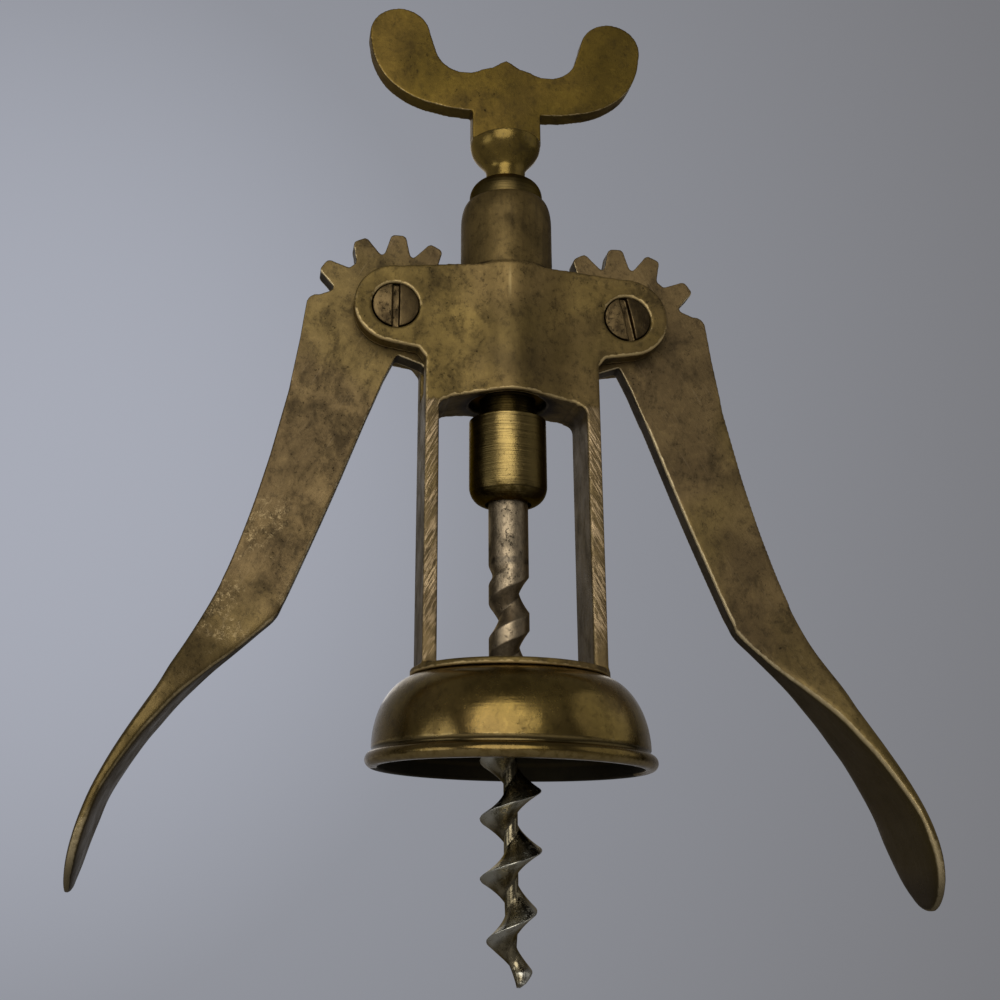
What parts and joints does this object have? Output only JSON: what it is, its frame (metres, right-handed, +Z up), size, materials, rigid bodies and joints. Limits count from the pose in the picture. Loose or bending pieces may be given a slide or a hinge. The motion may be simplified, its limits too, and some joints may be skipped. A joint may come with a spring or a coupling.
{
  "type": "wing corkscrew",
  "caption": "Wing corkscrew with a bell that seats on the bottle, geared levers that drive a grooved rack sleeve, and a steel worm turned by a winged handle.",
  "frame": {"origin": "centre of the bell's rim plane, on the worm's axis", "axes": "+Z up the worm's axis toward the handle, -Y toward the front with the slotted screw heads, +X toward the right lever"},
  "size_m": [0.115, 0.0394, 0.1461],
  "materials": {
    "frame_brass": "patinated cast brass",
    "bell_brass": "worn satin",
    "worm_steel": "worn, lightly pitted",
    "screw_steel": "dark, worn"
  },
  "bodies": {
    "frame": {"yoke": "frame_brass", "bell": "bell_brass", "pivot_screw_left": "screw_steel", "pivot_screw_right": "screw_steel"},
    "rack": {"rack_sleeve": "frame_brass"},
    "spindle": {"worm": "worm_steel", "handle": "frame_brass", "retaining_ring": "worm_steel"},
    "lever_left": {"lever_left": "frame_brass"},
    "lever_right": {"lever_right": "frame_brass"}
  },
  "joints": [
    {"name": "lever_left_pivot", "type": "hinge", "parent": "frame", "child": "lever_left", "pos_m": [-0.0174, 0, 0.0652], "axis": [0, 1, 0], "range_deg": [-22, 72]},
    {"name": "lever_right_pivot", "type": "hinge", "parent": "frame", "child": "lever_right", "pos_m": [0.0174, 0, 0.0652], "axis": [0, -1, 0], "range_deg": [-22, 72]},
    {"name": "rack_slide", "type": "slide", "parent": "frame", "child": "rack", "axis": [0, 0, 1], "range_m": [-0.0138, 0.0043]},
    {"name": "worm_turn", "type": "hinge", "parent": "rack", "child": "spindle", "pos_m": [0, 0, 0.06], "axis": [0, 0, 1], "continuous": true}
  ],
  "couplings": [
    {"joint": "lever_right_pivot", "follows": "lever_left_pivot", "ratio": 1},
    {"joint": "rack_slide", "follows": "lever_left_pivot", "m_per_rad": -0.0109}
  ]
}
